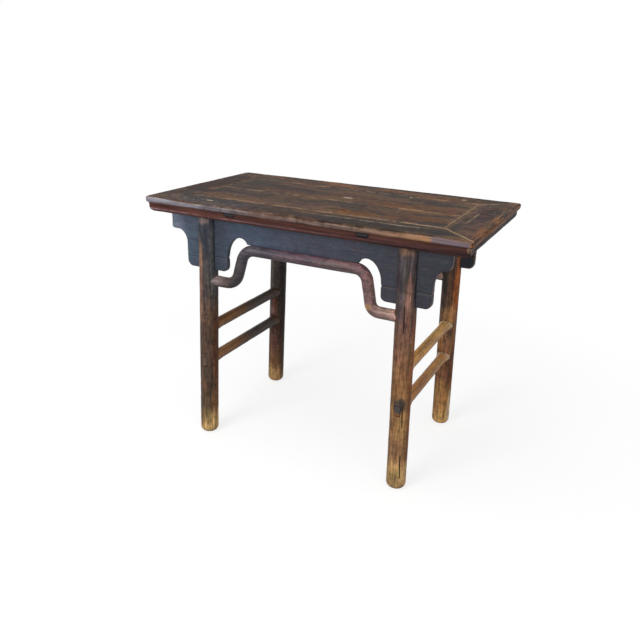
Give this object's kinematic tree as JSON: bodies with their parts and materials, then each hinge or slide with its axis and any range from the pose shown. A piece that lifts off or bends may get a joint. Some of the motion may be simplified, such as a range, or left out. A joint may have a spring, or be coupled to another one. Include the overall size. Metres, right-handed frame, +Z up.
{
  "type": "altar table",
  "caption": "Rectangular altar table with recessed splayed round legs, shaped aprons, humpback stretchers front and back, and paired side stretchers.",
  "frame": {"origin": "on the floor, under the middle of the table", "axes": "+X along the table to the right, +Y from the front to the back, +Z up"},
  "size_m": [1.06, 0.606, 0.825],
  "materials": {
    "top_frame": "worn dark brown lacquer, satin",
    "panel": "worn dark brown lacquer with golden wood showing, satin",
    "underside_wood": "bare aged wood, matt",
    "apron_lacquer": "worn slate-black lacquer, satin",
    "leg_wood": "worn dark brown lacquer over golden wood, satin",
    "stretcher_lacquer": "worn red-brown lacquer, satin",
    "side_stretcher_wood": "rubbed golden brown wood, satin"
  },
  "bodies": {
    "root": {"top_rail_front": "top_frame", "top_rail_back": "top_frame", "top_end_left": "top_frame", "top_end_right": "top_frame", "panel_board_front": "panel", "panel_board_back": "panel", "batten_left": "underside_wood", "batten_right": "underside_wood", "apron_front": "apron_lacquer", "spandrel_tip_front_left": "apron_lacquer", "leg_front_left": "leg_wood", "spandrel_tip_front_right": "apron_lacquer", "leg_front_right": "leg_wood", "humpback_stretcher_front": "stretcher_lacquer", "apron_back": "apron_lacquer", "spandrel_tip_back_left": "apron_lacquer", "leg_back_left": "leg_wood", "spandrel_tip_back_right": "apron_lacquer", "leg_back_right": "leg_wood", "humpback_stretcher_back": "stretcher_lacquer", "side_stretcher_left_upper": "side_stretcher_wood", "side_stretcher_left_lower": "side_stretcher_wood", "side_stretcher_right_upper": "side_stretcher_wood", "side_stretcher_right_lower": "side_stretcher_wood"}
  },
  "joints": []
}
